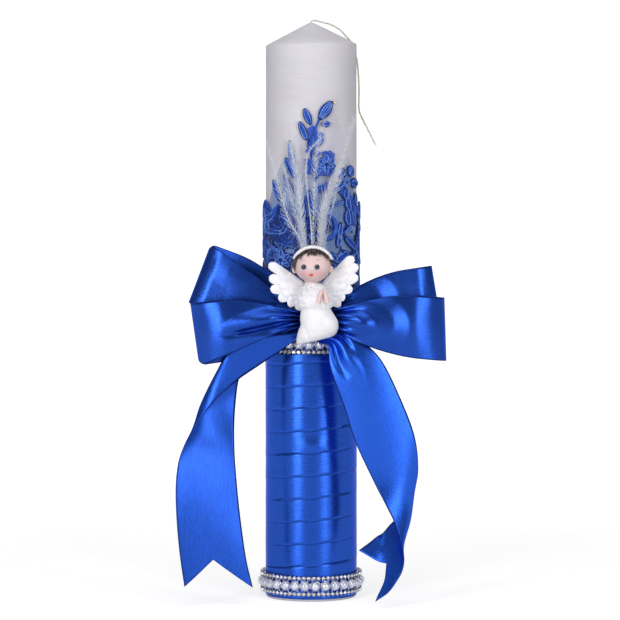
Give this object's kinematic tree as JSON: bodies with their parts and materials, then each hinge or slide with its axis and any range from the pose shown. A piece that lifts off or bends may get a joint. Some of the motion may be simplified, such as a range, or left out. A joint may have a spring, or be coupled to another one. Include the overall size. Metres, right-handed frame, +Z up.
{
  "type": "baptism candle",
  "caption": "Tall white pillar candle wound with blue satin ribbon, with a lace band, pearl trims, a satin bow with tails, feathers and a small praying angel.",
  "frame": {"origin": "middle of the candle's foot, on the surface it stands on", "axes": "+Z up the candle, -Y the decorated front, +X to the right of someone who looks at the front"},
  "size_m": [0.1776, 0.1053, 0.3825],
  "materials": {
    "wax": "smooth white candle wax",
    "wick_cord": "waxed braided cotton",
    "satin": "royal blue satin ribbon",
    "tulle": "fine grey-blue net",
    "lace": "corded blue lace",
    "pearl": "pearl lustre",
    "rhinestone": "clear faceted stone in a silver cup",
    "trim_silver": "silver-plated linking",
    "feather": "white bird feather",
    "white_resin": "matt white resin",
    "skin_paint": "satin skin-toned paint on resin",
    "hair_paint": "matt dark brown paint on resin"
  },
  "bodies": {
    "root": {"angel_hair": "hair_paint", "angel_hands": "skin_paint", "angel_head": "skin_paint", "angel_headband": "white_resin", "angel_robe": "white_resin", "angel_wing_left": "white_resin", "angel_wing_right": "white_resin", "bow_knot": "satin", "bow_loop_lower_left": "satin", "bow_loop_lower_right": "satin", "bow_loop_upper_left": "satin", "bow_loop_upper_right": "satin", "bow_pin": "pearl", "bow_tail_left": "satin", "bow_tail_right": "satin", "feather_centre": "feather", "feather_centre_left": "feather", "feather_left": "feather", "feather_left_inner": "feather", "feather_right": "feather", "feather_right_tall": "feather", "feather_tall": "feather", "lace_band": "lace", "lace_flower_front": "lace", "lace_flower_left": "lace", "lace_flower_right": "lace", "lace_leaf_1": "lace", "lace_leaf_10": "lace", "lace_leaf_11": "lace", "lace_leaf_12": "lace", "lace_leaf_13": "lace", "lace_leaf_14": "lace", "lace_leaf_2": "lace", "lace_leaf_3": "lace", "lace_leaf_4": "lace", "lace_leaf_5": "lace", "lace_leaf_6": "lace", "lace_leaf_7": "lace", "lace_leaf_8": "lace", "lace_leaf_9": "lace", "lace_tip_pearl": "pearl", "lower_trim_band": "trim_silver", "lower_trim_pearls": "pearl", "lower_trim_stones_bottom": "rhinestone", "lower_trim_stones_top": "rhinestone", "ribbon_wrap": "satin", "tulle_net": "tulle", "upper_trim_band": "trim_silver", "upper_trim_pearls": "pearl", "upper_trim_stones_bottom": "rhinestone", "upper_trim_stones_top": "rhinestone", "wax_pillar": "wax", "wick_core": "wick_cord", "wick_tail": "wick_cord"}
  },
  "joints": []
}
